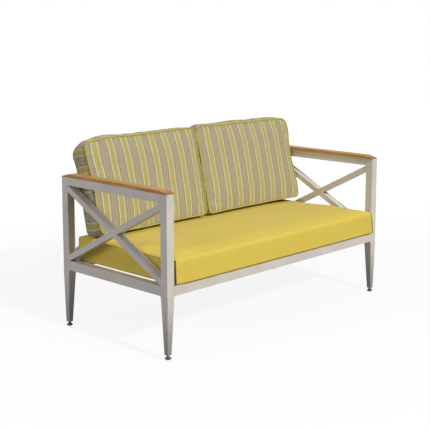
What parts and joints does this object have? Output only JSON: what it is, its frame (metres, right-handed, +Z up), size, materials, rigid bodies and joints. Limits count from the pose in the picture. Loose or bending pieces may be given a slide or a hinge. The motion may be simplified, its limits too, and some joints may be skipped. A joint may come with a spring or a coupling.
{
  "type": "outdoor bench",
  "caption": "Outdoor bench seat: painted tube frame with crossed braces, tapered legs on levelling glides, timber arm caps, seat cushion and striped back cushions.",
  "frame": {"origin": "on the floor under the middle of the whole bench's box, cushions included", "axes": "+X along the bench, to the right of someone who faces its front, +Y from its front to its back, +Z up"},
  "size_m": [1.4, 0.674, 0.8286],
  "materials": {
    "frame_paint": "satin",
    "deck_paint": "satin",
    "teak": "satin",
    "screw_steel": "satin",
    "glide_steel": "satin",
    "glide_plastic": "matte",
    "seat_fabric": "matte",
    "stripe_fabric": "matte",
    "foam": "matte"
  },
  "bodies": {
    "frame": {"left_front_post": "frame_paint", "left_rear_post": "frame_paint", "right_front_post": "frame_paint", "right_rear_post": "frame_paint", "left_front_leg": "frame_paint", "left_rear_leg": "frame_paint", "right_front_leg": "frame_paint", "right_rear_leg": "frame_paint", "left_arm_rail": "frame_paint", "right_arm_rail": "frame_paint", "left_side_rail": "frame_paint", "right_side_rail": "frame_paint", "front_rail": "frame_paint", "rear_rail": "frame_paint", "back_top_rail": "frame_paint", "back_upright": "frame_paint", "left_side_long_brace": "frame_paint", "left_side_front_brace": "frame_paint", "left_side_rear_brace": "frame_paint", "right_side_long_brace": "frame_paint", "right_side_front_brace": "frame_paint", "right_side_rear_brace": "frame_paint", "back_left_long_brace": "frame_paint", "back_left_outer_brace": "frame_paint", "back_left_inner_brace": "frame_paint", "back_right_long_brace": "frame_paint", "back_right_outer_brace": "frame_paint", "back_right_inner_brace": "frame_paint", "front_slat_ledge": "deck_paint", "rear_slat_ledge": "deck_paint", "seat_slats": "deck_paint", "left_arm_cap": "teak", "right_arm_cap": "teak", "arm_cap_screws": "screw_steel"},
    "seat_cushion": {"seat_cushion_cover": "seat_fabric", "seat_cushion_core": "foam"},
    "left_back_cushion": {"left_back_cushion_cover": "stripe_fabric", "left_back_cushion_core": "foam"},
    "right_back_cushion": {"right_back_cushion_cover": "stripe_fabric", "right_back_cushion_core": "foam"},
    "left_front_glide": {"left_front_glide_stem": "glide_steel", "left_front_glide_pad": "glide_plastic"},
    "left_rear_glide": {"left_rear_glide_stem": "glide_steel", "left_rear_glide_pad": "glide_plastic"},
    "right_front_glide": {"right_front_glide_stem": "glide_steel", "right_front_glide_pad": "glide_plastic"},
    "right_rear_glide": {"right_rear_glide_stem": "glide_steel", "right_rear_glide_pad": "glide_plastic"}
  },
  "joints": [
    {"name": "seat_cushion_slide", "type": "slide", "parent": "frame", "child": "seat_cushion", "axis": [0, -1, 0], "range_m": [0, 0.65]},
    {"name": "left_back_cushion_lift", "type": "slide", "parent": "frame", "child": "left_back_cushion", "axis": [0, 0, 1], "range_m": [0, 0.45]},
    {"name": "right_back_cushion_lift", "type": "slide", "parent": "frame", "child": "right_back_cushion", "axis": [0, 0, 1], "range_m": [0, 0.45]},
    {"name": "left_front_glide_screw", "type": "slide", "parent": "frame", "child": "left_front_glide", "axis": [0, 0, 1], "range_m": [-0.012, 0]},
    {"name": "left_rear_glide_screw", "type": "slide", "parent": "frame", "child": "left_rear_glide", "axis": [0, 0, 1], "range_m": [-0.012, 0]},
    {"name": "right_front_glide_screw", "type": "slide", "parent": "frame", "child": "right_front_glide", "axis": [0, 0, 1], "range_m": [-0.012, 0]},
    {"name": "right_rear_glide_screw", "type": "slide", "parent": "frame", "child": "right_rear_glide", "axis": [0, 0, 1], "range_m": [-0.012, 0]}
  ]
}
